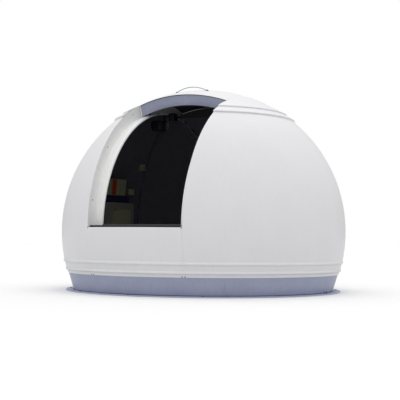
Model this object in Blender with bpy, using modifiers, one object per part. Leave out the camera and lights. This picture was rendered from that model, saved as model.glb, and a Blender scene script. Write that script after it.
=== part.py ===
"""A 3.5 m fibreglass observatory dome on its base ring, with an up-and-over shutter.

Metres, +Z up. The origin is on the dome's upright axis, level with the underside of the
base flange, and the slot faces -Y. Azimuth runs from the slot's direction towards +X. The
slot angle runs about the level axis through the sphere's centre, from 0 at the front
horizon over 90 at the zenith to 180 at the back.
"""

import math

import bmesh
import bpy
from mathutils import Matrix, Vector

# Sphere that the whole dome follows
SPHERE_RADIUS = 1.75
CENTRE_HEIGHT = 0.73
SKIN = 0.006
SEAT_GAP = 0.0003
COLUMN_DEG = 6
CUTTER_REACH = 3

# Base ring: a leaning wall on an outward bolting flange
RING_TOP_HEIGHT = 0.222
RING_TOP_RADIUS = 1.6597
RING_FOOT_RADIUS = 1.5965
RING_WALL = 0.008
FLANGE_RADIUS = 1.689
FLANGE_THICKNESS = 0.012
RING_JOINT_DEG = 36

# Dome skirt and the in-turned flange that runs on the support rollers
SKIRT_BOTTOM_HEIGHT = 0.212
RUNNING_FLANGE_HEIGHT = 0.232
RUNNING_FLANGE_THICKNESS = 0.008
RUNNING_FLANGE_RADIUS = 1.585

# Support rollers, fixed to the base ring's wall
ROLLER_COUNT = 6
ROLLER_RADIUS = 0.035
ROLLER_WIDTH = 0.030
ROLLER_INNER_FACE = 1.588
ROLLER_PLATE = (0.070, 0.012)
ROLLER_PLATE_HEIGHTS = (0.090, 0.214)
ROLLER_AXLE_RADIUS = 0.009
ROLLER_SETBACK = 0.004
AXLE_SIDES = 12
TREAD_SIDES = 24

# Slot: half width of the recess, its floor and the raised lip along the clear opening
SLOT_HALF = 0.6125
CHANNEL_FLOOR = 1.484
CHANNEL_WALL = 0.006
CHANNEL_WALL_TOP = 1.6237
LIP_OUTER = 0.583
LIP_INNER = 0.508
LIP_RISE = 0.0096
LIP_TURN_DOWN = 0.014
LIP_SLOPE = 0.005
LIP_SHOULDER = (0.022, 0.0196)
SLOT_START_DEG = 0.908
OPENING_END_DEG = 97.5
SLOT_END_DEG = 189.9
CHANNEL_STEPS = 17

# Sill in front, and the ledge that closes the recess at the back
SILL_HEIGHT = 0.7528
REAR_SILL_HEIGHT = 0.450
SILL_LEDGE_RADIUS = 1.460
REAR_LEDGE_RADIUS = 1.435
LEDGE_THICKNESS = 0.008
LEDGE_CLEARANCE = 0.002
SEAL_RADII = (1.680, 1.710)
SEAL_HEIGHT = 0.0227
SEAL_HALF_DEG = 20.8
SEAL_STEPS = 8
RAIL_FRONT = -1.489
RAIL_DEPTH = 0.019
RAIL_HEIGHT = 0.035

# Closed floor of the recess behind the clear opening
REAR_FLOOR_RADIUS = 1.5913
REAR_FLOOR_HALF = 0.530
REAR_FLOOR_POINTS = 8
HEADER_THICKNESS = 0.010
FLAT_DIP = 0.0009

# Skin panels: the azimuths they are cut from, and the joints between them
SIDE_START_DEG = 18
BAY_HALF_DEG = 24
CROWN_START_DEG = 30
REAR_JOINT_DEG = 120
CROWN_JOINT_DEG = 50.4
JOINT_GAP_DEG = 0.01
SEAM_RIB = (0.036, 0.022)

# Shutter, in the position of the photograph
SHUTTER_RADIUS = 1.745
SHUTTER_HALF = 0.60375
SHUTTER_FRONT_DEG = 69.0
SHUTTER_LIP_DEG = 69.4
SHUTTER_REAR_DEG = 166.4
SHUTTER_STEPS = 20
SKIN_HALVES = (-0.48, -0.35)
CROWN_HALVES = (-0.08,)
SKIRT_THICKNESS = 0.016
SKIRT_CLEARANCE = 0.0075
SKIRT_DROP = 0.0008
END_PLATE_RADIUS = 1.6048
END_PLATE_THICKNESS = 0.010
SHUTTER_FLAT_DIP = 0.0012

# Guide wheels of the shutter
WHEEL_RADIUS = 0.018
WHEEL_FACES = (0.556, 0.574)
WHEEL_BOSS_RADIUS = 0.008
WHEEL_SIDES = 16
FRONT_WHEEL_ROW = 13
REAR_WHEEL_ROW = 11

# Boxes on the left rear wall: azimuth, half width, distance of the front face, low and high
EQUIPMENT = {
    "control_box": (-100, 0.185, 1.480, 1.208, 1.428),
    "junction_box": (-112, 0.046, 1.550, 1.225, 1.308),
    "cable_tray": (-104, 0.235, 1.600, 1.128, 1.200),
    "equipment_cabinet": (-103, 0.268, 1.500, 0.700, 1.112),
    "wall_socket": (-116, 0.045, 1.430, 1.560, 1.650),
}
ROOM_DEG = (234, 276)
ROOM_CORE = 0.2

# Shutter motor, its bracket under the left channel, and the drive unit beside the opening
BRACKET_SPAN = (-0.615, -0.525)
BRACKET_FRONT = 0.004
BRACKET_THICKNESS = 0.008
BRACKET_DROP = 0.175
MOTOR_SPAN = (-0.700, -0.560)
MOTOR_LENGTH = 0.154
MOTOR_HEIGHT = 0.130
MOTOR_DROP = 0.075
DRIVE_SPAN = (SEAT_GAP - LIP_INNER, -0.430)
DRIVE_DEPTHS = (-0.030, 0.060)
DRIVE_RADII = (1.400, 1.500)

# Lifting hoop on top of the shutter
HOOP_HALF = 0.22
HOOP_RISE = 0.043
HOOP_LEG = 0.010
HOOP_STEPS = 14
HOOP_ROW = 2
HOOP_TUBE_RADIUS = 0.006

CENTRE = Vector((0, 0, CENTRE_HEIGHT))
FRONT = Vector((0, -1, 0))
ACROSS = Vector((1, 0, 0))
UP = Vector((0, 0, 1))

# Outer skin as (elevation, offset from the sphere): two beads low down, two laps on the crown
LOWER_BEADS = (
    (-7.2, 0),
    (-11.3, 0),
    (-12.2, 0.011),
    (-13.5, -0.002),
    (-14.7, -0.002),
    (-15.5, 0.009),
    (-16.4, -0.005),
)
CROWN_LAPS = (
    (60, 0),
    (58, 0.008),
    (56, 0.017),
    (54.6, 0.019),
    (54.4, 0.004),
    (53.4, 0.009),
    (52, 0.017),
    (50.4, 0.019),
)
CROWN_TOP_ROWS_DEG = (71, 65.5)
CROWN_INNER_ROWS_DEG = (55.2, 60)
BEAD_ROWS_DEG = (-14.7, -12.2)
LOWEST_PLAIN_ROW_DEG = -7.2
ROW_DEG = 7.2
SKIRT_OFFSET = -0.005
SKIRT_THIN = 0.002


def clear_scene():
    for item in list(bpy.data.objects):
        bpy.data.objects.remove(item, do_unlink=True)


def new_collection(name):
    collection = bpy.data.collections.new(name)
    bpy.context.scene.collection.children.link(collection)
    return collection


def finish(name, colour, roughness, metallic=0.0):
    material = bpy.data.materials.new(name)
    material.use_nodes = True
    shader = material.node_tree.nodes["Principled BSDF"]
    shader.inputs["Base Color"].default_value = (*colour, 1)
    shader.inputs["Roughness"].default_value = roughness
    shader.inputs["Metallic"].default_value = metallic
    return material


def add_object(name, mesh, material=None, collection=None):
    part = bpy.data.objects.new(name, mesh)
    (collection or PARTS).objects.link(part)
    if material:
        mesh.materials.append(material)
    return part


def mesh_from(bm, name):
    bmesh.ops.recalc_face_normals(bm, faces=bm.faces)
    mesh = bpy.data.meshes.new(name)
    bm.to_mesh(mesh)
    bm.free()
    mesh.shade_smooth()
    mesh.set_sharp_from_angle(angle=math.radians(30))
    return mesh


def section_face(bm, section, place):
    return bm.faces.new([bm.verts.new(place(a, b)) for a, b in section])


def swept(name, section, frame, start_deg, end_deg, steps, material=None, collection=None):
    """A closed section of (across, radial) points spun from one angle to another.

    The frame is (across, radial, side): the spin turns radial towards side about the
    sphere's centre.
    """
    across, radial, side = frame
    start = math.radians(start_deg)
    outward = math.cos(start) * radial + math.sin(start) * side
    bm = bmesh.new()
    face = section_face(bm, section, lambda a, b: CENTRE + a * across + b * outward)
    bmesh.ops.spin(
        bm,
        geom=[face, *face.edges, *face.verts],
        cent=CENTRE,
        axis=radial.cross(side),
        angle=math.radians(end_deg - start_deg),
        steps=steps,
    )
    return add_object(name, mesh_from(bm, name), material, collection)


UPRIGHT = (UP, FRONT, ACROSS)
LEVEL = (ACROSS, FRONT, UP)


def meridian(azimuth_deg):
    angle = math.radians(azimuth_deg)
    outward = Vector((math.sin(angle), -math.cos(angle), 0))
    return (UP.cross(outward), outward, UP)


def plate(name, outline, frame, angle_deg, thickness, material):
    """A flat plate of (across, radial) outline in the plane at an angle, thickened past it."""
    across, radial, side = frame
    angle = math.radians(angle_deg)
    outward = math.cos(angle) * radial + math.sin(angle) * side
    normal = math.cos(angle) * side - math.sin(angle) * radial
    bm = bmesh.new()
    face = section_face(bm, outline, lambda a, b: CENTRE + a * across + b * outward)
    grown = bmesh.ops.extrude_face_region(bm, geom=[face], use_keep_orig=True)
    moved = [item for item in grown["geom"] if isinstance(item, bmesh.types.BMVert)]
    bmesh.ops.translate(bm, verts=moved, vec=normal * thickness)
    return add_object(name, mesh_from(bm, name), material)


def block(name, low, high, material=None, azimuth_deg=None, collection=None):
    """A box between two corners. With an azimuth, x is tangential and y is the distance out."""
    low, high = Vector(low), Vector(high)
    size = Matrix.Diagonal((*(high - low), 1))
    bm = bmesh.new()
    bmesh.ops.create_cube(bm, size=1, matrix=Matrix.Translation((low + high) / 2) @ size)
    part = add_object(name, mesh_from(bm, name), material, collection)
    if azimuth_deg is not None:
        part.rotation_euler.z = math.radians(azimuth_deg) + math.pi
    return part


def combine(part, other, operation):
    modifier = part.modifiers.new(other.name, "BOOLEAN")
    modifier.operation = operation
    modifier.object = other
    modifier.solver = "EXACT"
    modifier.show_render = modifier.show_viewport


def cutter(part):
    part.hide_render = True
    part.display_type = "WIRE"
    return part


def skin_point(elevation_deg, offset=0.0):
    """(height above the centre, radius from the upright axis) on the sphere, moved outwards."""
    angle = math.radians(elevation_deg)
    radius = SPHERE_RADIUS + offset
    return (radius * math.sin(angle), radius * math.cos(angle))


def elevation_at(height, radius):
    return math.degrees(math.asin((height - CENTRE_HEIGHT) / radius))


def sphere_arc(radius, halves):
    """(across, radial) points of a sphere's section at the given distances from the slot's middle."""
    return [(t, math.sqrt(radius**2 - t**2)) for t in halves]


def spread(half, count):
    return [half * (2 * i / (count - 1) - 1) for i in range(count)]


def lower_skin_section(top_deg, rows_deg, ledge_radius=None):
    """Section of a lower panel: skin with its beads, open skirt and running flange."""
    outer = [skin_point(top_deg)]
    outer += [skin_point(row) for row in rows_deg]
    outer += [skin_point(row, offset) for row, offset in LOWER_BEADS if row < top_deg]
    foot_deg = elevation_at(SKIRT_BOTTOM_HEIGHT, SPHERE_RADIUS)
    outer.append(skin_point(foot_deg, SKIRT_OFFSET))
    inner_radius = SPHERE_RADIUS - SKIN
    low = RUNNING_FLANGE_HEIGHT
    high = low + RUNNING_FLANGE_THICKNESS
    thin = -SKIN - SKIRT_THIN
    inner = [skin_point(foot_deg, SKIRT_OFFSET - SKIN)]
    inner.append(skin_point(elevation_at(low, inner_radius), thin))
    inner.append((inner[-1][0], RUNNING_FLANGE_RADIUS))
    inner.append((high - CENTRE_HEIGHT, RUNNING_FLANGE_RADIUS))
    inner.append((high - CENTRE_HEIGHT, skin_point(elevation_at(high, inner_radius), thin)[1]))
    inner += [skin_point(row, thin) for row in BEAD_ROWS_DEG if row < top_deg]
    plain_rows = (LOWEST_PLAIN_ROW_DEG, *reversed(rows_deg))
    inner += [skin_point(row, -SKIN) for row in plain_rows if row < top_deg]
    top_height = skin_point(top_deg)[0]
    if ledge_radius:
        under = top_height - LEDGE_THICKNESS
        under_deg = elevation_at(CENTRE_HEIGHT + under, inner_radius)
        inner = [point for point in inner if point[0] < under - LEDGE_CLEARANCE]
        inner.append(skin_point(under_deg, -SKIN if top_deg > 0 else thin))
        inner.append((under, ledge_radius))
        inner.append((top_height, ledge_radius))
    else:
        inner.append(skin_point(top_deg, -SKIN))
    return outer + inner


def make_base_ring():
    wall_lean = (RING_TOP_RADIUS - RING_FOOT_RADIUS) / (RING_TOP_HEIGHT - FLANGE_THICKNESS)
    inner_foot = RING_FOOT_RADIUS - RING_WALL - wall_lean * FLANGE_THICKNESS
    heights_and_radii = (
        (RING_TOP_HEIGHT, RING_TOP_RADIUS),
        (FLANGE_THICKNESS, RING_FOOT_RADIUS),
        (FLANGE_THICKNESS, FLANGE_RADIUS),
        (0, FLANGE_RADIUS),
        (0, inner_foot),
        (RING_TOP_HEIGHT, RING_TOP_RADIUS - RING_WALL),
    )
    section = [(height - CENTRE_HEIGHT, radius) for height, radius in heights_and_radii]
    for index, side in enumerate(("front", "right", "rear", "left")):
        start = RING_JOINT_DEG - 90 + 90 * index
        swept(
            f"base_ring_{side}",
            section,
            UPRIGHT,
            start + JOINT_GAP_DEG,
            start + 90 - JOINT_GAP_DEG,
            90 // COLUMN_DEG,
            RING_PAINT,
        )
    return inner_foot, wall_lean


def make_support_roller(index, inner_foot, wall_lean):
    """A roller on its axle and plate, bolted to the middle of one flat of the ring's wall."""
    azimuth = COLUMN_DEG / 2 + index * 360 / ROLLER_COUNT
    flat = math.cos(math.radians(COLUMN_DEG / 2))
    width, thickness = ROLLER_PLATE

    def wall_face(height):
        return (inner_foot + wall_lean * height) * flat - SEAT_GAP

    low, high = ROLLER_PLATE_HEIGHTS
    outline = (
        (low - CENTRE_HEIGHT, wall_face(low)),
        (high - CENTRE_HEIGHT, wall_face(high)),
        (high - CENTRE_HEIGHT, wall_face(high) - thickness),
        (low - CENTRE_HEIGHT, wall_face(low) - thickness),
    )
    name = f"support_roller_{index + 1}"
    part = plate(name, outline, UPRIGHT, azimuth, width, STEEL)
    side_shift = Matrix.Rotation(math.radians(azimuth), 4, "Z") @ Vector((-width / 2, 0, 0))
    part.data.transform(Matrix.Translation(side_shift))
    axle_height = RUNNING_FLANGE_HEIGHT - SEAT_GAP - ROLLER_RADIUS
    outward = meridian(azimuth)[1]
    axle_end = wall_face(axle_height) - thickness / 2
    tread_start = ROLLER_INNER_FACE + ROLLER_SETBACK
    tread_end = ROLLER_INNER_FACE + ROLLER_WIDTH
    for label, radius, inner_face, outer_face, sides in (
        ("axle", ROLLER_AXLE_RADIUS, ROLLER_INNER_FACE, axle_end, AXLE_SIDES),
        ("tread", ROLLER_RADIUS, tread_start, tread_end, TREAD_SIDES),
    ):
        middle = outward * (inner_face + outer_face) / 2 + UP * axle_height
        place = Matrix.Translation(middle) @ outward.to_track_quat("Z", "X").to_matrix().to_4x4()
        bm = bmesh.new()
        bmesh.ops.create_cone(
            bm,
            cap_ends=True,
            segments=sides,
            radius1=radius,
            radius2=radius,
            depth=outer_face - inner_face,
            matrix=place,
        )
        wheel = cutter(add_object(f"{name}_{label}", mesh_from(bm, label), None, CUTTERS))
        combine(part, wheel, "UNION")


def make_skin_panels():
    slot_box = cutter(
        block(
            "slot_cut",
            (-SLOT_HALF, -CUTTER_REACH, 0),
            (SLOT_HALF, CUTTER_REACH, CUTTER_REACH),
            collection=CUTTERS,
        )
    )
    bay_half = SLOT_HALF - SEAT_GAP
    bay_box = cutter(
        block(
            "bay_cut",
            (-bay_half, -CUTTER_REACH, 0),
            (bay_half, CUTTER_REACH, CUTTER_REACH),
            collection=CUTTERS,
        )
    )
    rows = [ROW_DEG * i for i in range(6, -1, -1)]
    side_section = lower_skin_section(CROWN_JOINT_DEG - 2 * JOINT_GAP_DEG, rows)
    front_top = elevation_at(SILL_HEIGHT, SPHERE_RADIUS)
    front_section = lower_skin_section(front_top, (0,), SILL_LEDGE_RADIUS)
    rear_top = elevation_at(REAR_SILL_HEIGHT, SPHERE_RADIUS)
    rear_section = lower_skin_section(rear_top, (), REAR_LEDGE_RADIUS)

    def panel(name, section, start, end, box, operation):
        steps = round((end - start) / COLUMN_DEG)
        part = swept(name, section, UPRIGHT, start, end, steps, WHITE_GELCOAT)
        combine(part, box, operation)

    joint, gap, start, bay = REAR_JOINT_DEG, JOINT_GAP_DEG, SIDE_START_DEG, BAY_HALF_DEG
    panel("right_side_panel", side_section, start, joint - gap, slot_box, "DIFFERENCE")
    panel("right_rear_panel", side_section, joint + gap, 180 - start, slot_box, "DIFFERENCE")
    panel("left_rear_panel", side_section, 180 + start, 360 - joint - gap, slot_box, "DIFFERENCE")
    panel("left_side_panel", side_section, 360 - joint + gap, 360 - start, slot_box, "DIFFERENCE")
    panel("front_panel", front_section, -bay, bay, bay_box, "INTERSECT")
    panel("rear_panel", rear_section, 180 - bay, 180 + bay, bay_box, "INTERSECT")

    crown_outer = [skin_point(row) for row in CROWN_TOP_ROWS_DEG]
    crown_outer += [skin_point(row, offset) for row, offset in CROWN_LAPS]
    inner_rows = (CROWN_JOINT_DEG, *CROWN_INNER_ROWS_DEG, *reversed(CROWN_TOP_ROWS_DEG))
    crown_inner = [skin_point(row, -SKIN) for row in inner_rows]
    crown_section = crown_outer + crown_inner
    start = CROWN_START_DEG
    panel("right_crown", crown_section, start, 180 - start, slot_box, "DIFFERENCE")
    panel("left_crown", crown_section, 180 + start, 360 - start, slot_box, "DIFFERENCE")


def make_seam_ribs():
    """Bolted joint strips inside the panel joints at the back, lying on the panels' flats."""
    width, depth = SEAM_RIB
    flat_fall = width / 2 * math.tan(math.radians(COLUMN_DEG / 2))
    outer = SPHERE_RADIUS - SKIN - flat_fall - 2 * SEAT_GAP
    section = (
        (-width / 2, outer),
        (width / 2, outer),
        (width / 2, outer - depth),
        (-width / 2, outer - depth),
    )
    start, end = LOWEST_PLAIN_ROW_DEG, CROWN_JOINT_DEG
    steps = round((end - start) / ROW_DEG)
    for side, azimuth in (("right", REAR_JOINT_DEG), ("left", -REAR_JOINT_DEG)):
        swept(f"{side}_seam_rib", section, meridian(azimuth), start, end, steps, BLACK_PAINT)


def channel_section(sign):
    """One side of the slot: recess wall, floor, and a raised lip that slopes to the opening."""
    under = CHANNEL_FLOOR - CHANNEL_WALL
    lip_top = CHANNEL_FLOOR + LIP_RISE
    outside = SLOT_HALF + CHANNEL_WALL
    turned_edge = CHANNEL_FLOOR - LIP_TURN_DOWN
    shoulder_width, shoulder_fall = LIP_SHOULDER
    points = (
        (SLOT_HALF, CHANNEL_WALL_TOP),
        (SLOT_HALF, CHANNEL_FLOOR),
        (LIP_OUTER, CHANNEL_FLOOR),
        (LIP_OUTER - LIP_SLOPE, lip_top),
        (LIP_INNER + shoulder_width, lip_top),
        (LIP_INNER, lip_top - shoulder_fall),
        (LIP_INNER, turned_edge),
        (LIP_INNER + CHANNEL_WALL, turned_edge),
        (LIP_INNER + shoulder_width, lip_top - CHANNEL_WALL),
        (LIP_OUTER - LIP_SLOPE, lip_top - CHANNEL_WALL),
        (LIP_OUTER, under),
        (outside, under),
        (outside, CHANNEL_WALL_TOP),
    )
    return [(sign * t, rho) for t, rho in points]


def make_slot():
    gap = JOINT_GAP_DEG
    for side, sign in (("left", -1), ("right", 1)):
        for place, start, end in (
            ("front", SLOT_START_DEG, OPENING_END_DEG - gap),
            ("rear", OPENING_END_DEG + gap, SLOT_END_DEG),
        ):
            name = f"{side}_{place}_channel"
            swept(name, channel_section(sign), LEVEL, start, end, CHANNEL_STEPS, WHITE_GELCOAT)
    halves = spread(REAR_FLOOR_HALF, REAR_FLOOR_POINTS)
    outer = sphere_arc(REAR_FLOOR_RADIUS, halves)
    inner = sphere_arc(REAR_FLOOR_RADIUS - SKIN, halves)
    swept(
        "rear_recess_floor",
        outer + inner[::-1],
        LEVEL,
        OPENING_END_DEG + gap,
        SLOT_END_DEG,
        CHANNEL_STEPS,
        WHITE_GELCOAT,
    )
    header_half = LIP_INNER - 2 * SEAT_GAP
    outermost, next_in = inner[:2]
    share = (header_half + outermost[0]) / (outermost[0] - next_in[0])
    end_rho = outermost[1] + share * (next_in[1] - outermost[1])
    top = [(-header_half, end_rho), *inner[1:-1], (header_half, end_rho)]
    top = [(t, rho - FLAT_DIP) for t, rho in top]
    foot = CHANNEL_FLOOR - LIP_TURN_DOWN
    outline = top + [(header_half, foot), (-header_half, foot)]
    plate("opening_header", outline, LEVEL, OPENING_END_DEG, HEADER_THICKNESS, BLACK_PAINT)


def make_sill():
    low = SILL_HEIGHT + SEAT_GAP - CENTRE_HEIGHT
    near, far = SEAL_RADII
    seal_section = (
        (low + SEAL_HEIGHT, near),
        (low + SEAL_HEIGHT, far),
        (low, far),
        (low, near),
    )
    swept("sill_seal", seal_section, UPRIGHT, -SEAL_HALF_DEG, SEAL_HALF_DEG, SEAL_STEPS, RUBBER)
    half = LIP_INNER - 2 * SEAT_GAP
    base = SILL_HEIGHT + SEAT_GAP
    low_corner = (-half, RAIL_FRONT, base)
    high_corner = (half, RAIL_FRONT + RAIL_DEPTH, base + RAIL_HEIGHT)
    block("sill_rail", low_corner, high_corner, DARK_GREY)


def make_shutter():
    inner_radius = SHUTTER_RADIUS - SKIN
    skirt_inner = SHUTTER_HALF - SKIRT_THICKNESS
    halves = [-SHUTTER_HALF, -skirt_inner, *SKIN_HALVES, -HOOP_HALF, *CROWN_HALVES]
    halves += [-half for half in reversed(halves)]
    section = sphere_arc(SHUTTER_RADIUS, halves) + sphere_arc(inner_radius, reversed(halves))
    front, rear = SHUTTER_FRONT_DEG, SHUTTER_REAR_DEG
    swept("shutter_skin", section, LEVEL, front, rear, SHUTTER_STEPS, WHITE_GELCOAT)
    foot = CHANNEL_FLOOR + SKIRT_CLEARANCE
    tops = sphere_arc(inner_radius, (SHUTTER_HALF, skirt_inner))
    for side, sign in (("left", -1), ("right", 1)):
        skirt = [(SHUTTER_HALF, foot)]
        skirt += [(t, rho - SKIRT_DROP) for t, rho in tops]
        skirt += [(skirt_inner, foot)]
        section = [(sign * t, rho) for t, rho in skirt]
        name = f"shutter_{side}_skirt"
        swept(name, section, LEVEL, SHUTTER_LIP_DEG, rear, SHUTTER_STEPS, WHITE_GELCOAT)
    plate_half = skirt_inner - 2 * SEAT_GAP
    plate_halves = [-plate_half, *halves[2:-2], plate_half]
    outline = sphere_arc(inner_radius - SHUTTER_FLAT_DIP, plate_halves)
    outline += sphere_arc(END_PLATE_RADIUS, reversed(plate_halves))
    thickness = END_PLATE_THICKNESS
    plate("shutter_front_lip", outline, LEVEL, SHUTTER_LIP_DEG, thickness, RING_PAINT)
    rear_face = rear - SHUTTER_LIP_DEG + front - math.degrees(thickness / END_PLATE_RADIUS)
    plate("shutter_rear_plate", outline, LEVEL, rear_face, thickness, WHITE_GELCOAT)
    return skirt_inner


def make_guide_wheel(name, sign, angle_deg, skirt_inner):
    """A wheel on a short axle, standing on the lip and turned about the slot's level direction."""
    near, far = WHEEL_FACES
    profile = (
        (0, near),
        (WHEEL_RADIUS, near),
        (WHEEL_RADIUS, far),
        (WHEEL_BOSS_RADIUS, far),
        (WHEEL_BOSS_RADIUS, skirt_inner - SEAT_GAP),
        (0, skirt_inner - SEAT_GAP),
    )
    bm = bmesh.new()
    verts = [bm.verts.new((radius, 0, height)) for radius, height in reversed(profile)]
    for first, second in zip(verts, verts[1:]):
        bm.edges.new((first, second))
    mesh = bpy.data.meshes.new(name)
    bm.to_mesh(mesh)
    bm.free()
    wheel = add_object(name, mesh, DARK_GREY)
    screw = wheel.modifiers.new("Turn", "SCREW")
    screw.angle = math.tau
    screw.steps = WHEEL_SIDES
    screw.render_steps = WHEEL_SIDES
    screw.use_merge_vertices = True
    screw.merge_threshold = 0.00001
    angle = math.radians(angle_deg)
    outward = math.cos(angle) * FRONT + math.sin(angle) * UP
    axle = sign * ACROSS
    side = axle.cross(outward)
    turn = Matrix((outward, side, axle)).transposed().to_4x4()
    distance = CHANNEL_FLOOR + LIP_RISE + SEAT_GAP + WHEEL_RADIUS
    wheel.matrix_world = Matrix.Translation(CENTRE + outward * distance) @ turn


def make_guide_wheels(skirt_inner):
    front_step = (OPENING_END_DEG - SLOT_START_DEG) / CHANNEL_STEPS
    rear_step = (SLOT_END_DEG - OPENING_END_DEG) / CHANNEL_STEPS
    stations = (
        ("front", SLOT_START_DEG + FRONT_WHEEL_ROW * front_step),
        ("rear", OPENING_END_DEG + REAR_WHEEL_ROW * rear_step),
    )
    for side, sign in (("left", -1), ("right", 1)):
        for place, angle in stations:
            make_guide_wheel(f"{side}_{place}_guide_wheel", sign, angle, skirt_inner)


def make_hoop():
    """A tube bent to a flat arch, a parabola on two short legs, across the slot."""
    step = (SHUTTER_REAR_DEG - SHUTTER_FRONT_DEG) / SHUTTER_STEPS
    angle = math.radians(SHUTTER_FRONT_DEG + HOOP_ROW * step)
    outward = math.cos(angle) * FRONT + math.sin(angle) * UP
    slope_rise = HOOP_TUBE_RADIUS * HOOP_HALF / SHUTTER_RADIUS
    foot = sphere_arc(SHUTTER_RADIUS, (HOOP_HALF,))[0][1] + slope_rise + SEAT_GAP
    bend = foot + HOOP_LEG
    crest = SHUTTER_RADIUS + HOOP_RISE
    shares = [2 * i / HOOP_STEPS - 1 for i in range(HOOP_STEPS + 1)]
    arch = [(HOOP_HALF * share, crest - (crest - bend) * share**2) for share in shares]
    route = [(-HOOP_HALF, foot), *arch, (HOOP_HALF, foot)]
    curve = bpy.data.curves.new("lifting_hoop", "CURVE")
    curve.dimensions = "3D"
    curve.bevel_depth = HOOP_TUBE_RADIUS
    curve.bevel_resolution = 2
    curve.use_fill_caps = True
    line = curve.splines.new("POLY")
    line.points.add(len(route) - 1)
    for point, (across, rise) in zip(line.points, route):
        point.co = (*(CENTRE + across * ACROSS + rise * outward), 1)
    curve.materials.append(STEEL)
    PARTS.objects.link(bpy.data.objects.new("lifting_hoop", curve))


def make_equipment():
    """Electrical boxes on the left rear wall, cut to lie against the inside of the skin."""
    rows = [ROW_DEG * i for i in range(7, -1, -1)]
    inner = [skin_point(row, -SKIN - SEAT_GAP) for row in rows]
    low_row, high_row = skin_point(LOWEST_PLAIN_ROW_DEG, -SKIN - SEAT_GAP), inner[0]
    inner += [low_row, (low_row[0], ROOM_CORE), (high_row[0], ROOM_CORE)]
    start, end = ROOM_DEG
    steps = round((end - start) / COLUMN_DEG)
    room = cutter(swept("room_cut", inner, UPRIGHT, start, end, steps, None, CUTTERS))
    materials = {
        "control_box": GREY_GREEN,
        "junction_box": GREY_GREEN,
        "wall_socket": GREY_GREEN,
        "cable_tray": BLUE_PAINT,
        "equipment_cabinet": GREY_PAINT,
    }
    for name, (azimuth, half_width, front, low, high) in EQUIPMENT.items():
        low_corner = (-half_width, front, low)
        high_corner = (half_width, SPHERE_RADIUS, high)
        part = block(name, low_corner, high_corner, materials[name], azimuth)
        combine(part, room, "INTERSECT")


def channel_underside(y):
    """Height of the front channel's underside, on the flat above a point near the zenith."""
    step = (OPENING_END_DEG - SLOT_START_DEG) / CHANNEL_STEPS
    radius = CHANNEL_FLOOR - CHANNEL_WALL
    angle = 90 + math.degrees(math.asin(y / radius))
    off_middle = (angle - SLOT_START_DEG) % step - step / 2
    flat = math.cos(math.radians(step / 2)) / math.cos(math.radians(off_middle))
    return CENTRE_HEIGHT + radius * flat * math.sin(math.radians(angle))


def make_shutter_drive():
    """Motor, its bracket and the drive unit, hung on the left channel near the zenith."""
    left, right = BRACKET_SPAN
    bracket_top = channel_underside(BRACKET_FRONT + BRACKET_THICKNESS) - 2 * SEAT_GAP
    bracket_low = (left, BRACKET_FRONT, bracket_top - BRACKET_DROP)
    bracket_high = (right, BRACKET_FRONT + BRACKET_THICKNESS, bracket_top)
    block("motor_bracket", bracket_low, bracket_high, ALUMINIUM)
    left, right = MOTOR_SPAN
    motor_back = BRACKET_FRONT - SEAT_GAP
    motor_top = bracket_top - MOTOR_DROP
    motor_low = (left, motor_back - MOTOR_LENGTH, motor_top - MOTOR_HEIGHT)
    block("shutter_motor", motor_low, (right, motor_back, motor_top), BLACK_PAINT)
    left, right = DRIVE_SPAN
    front, back = DRIVE_DEPTHS
    low, high = DRIVE_RADII
    drive_low = (left, front, CENTRE_HEIGHT + low)
    block("drive_unit", drive_low, (right, back, CENTRE_HEIGHT + high), BLACK_PAINT)


clear_scene()
PARTS = new_collection("observatory_dome")
CUTTERS = new_collection("cutters")

WHITE_GELCOAT = finish("White gelcoat", (0.86, 0.86, 0.87), 0.25)
RING_PAINT = finish("Blue grey gelcoat", (0.22, 0.24, 0.34), 0.45)
BLACK_PAINT = finish("Black paint", (0.010, 0.010, 0.013), 0.7)
DARK_GREY = finish("Dark grey nylon", (0.045, 0.048, 0.055), 0.6)
RUBBER = finish("Black rubber", (0.012, 0.012, 0.012), 0.8)
STEEL = finish("Zinc plated steel", (0.55, 0.56, 0.58), 0.35, 1.0)
ALUMINIUM = finish("Aluminium plate", (0.60, 0.60, 0.62), 0.4, 1.0)
GREY_GREEN = finish("Grey green enclosure", (0.30, 0.32, 0.22), 0.6)
GREY_PAINT = finish("Grey enclosure", (0.16, 0.17, 0.14), 0.6)
BLUE_PAINT = finish("Dark blue tray", (0.015, 0.02, 0.08), 0.6)

ring_foot, ring_lean = make_base_ring()
for number in range(ROLLER_COUNT):
    make_support_roller(number, ring_foot, ring_lean)
make_skin_panels()
make_seam_ribs()
make_slot()
make_sill()
skirt_face = make_shutter()
make_guide_wheels(skirt_face)
make_hoop()
make_equipment()
make_shutter_drive()
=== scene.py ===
"""Looks of a 3.5 m fibreglass observatory dome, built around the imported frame.

Metres, +Z up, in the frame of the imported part: the origin is on the dome's upright axis, level
with the underside of the base flange, and the slot faces -Y. Azimuth runs from the slot's
direction towards +X. The slot angle runs about the level axis through the sphere's centre, from
0 at the front horizon over 90 at the zenith to 180 at the back.
"""

import math

import bmesh
import bpy
import numpy as np
from mathutils import Matrix, Vector


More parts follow.
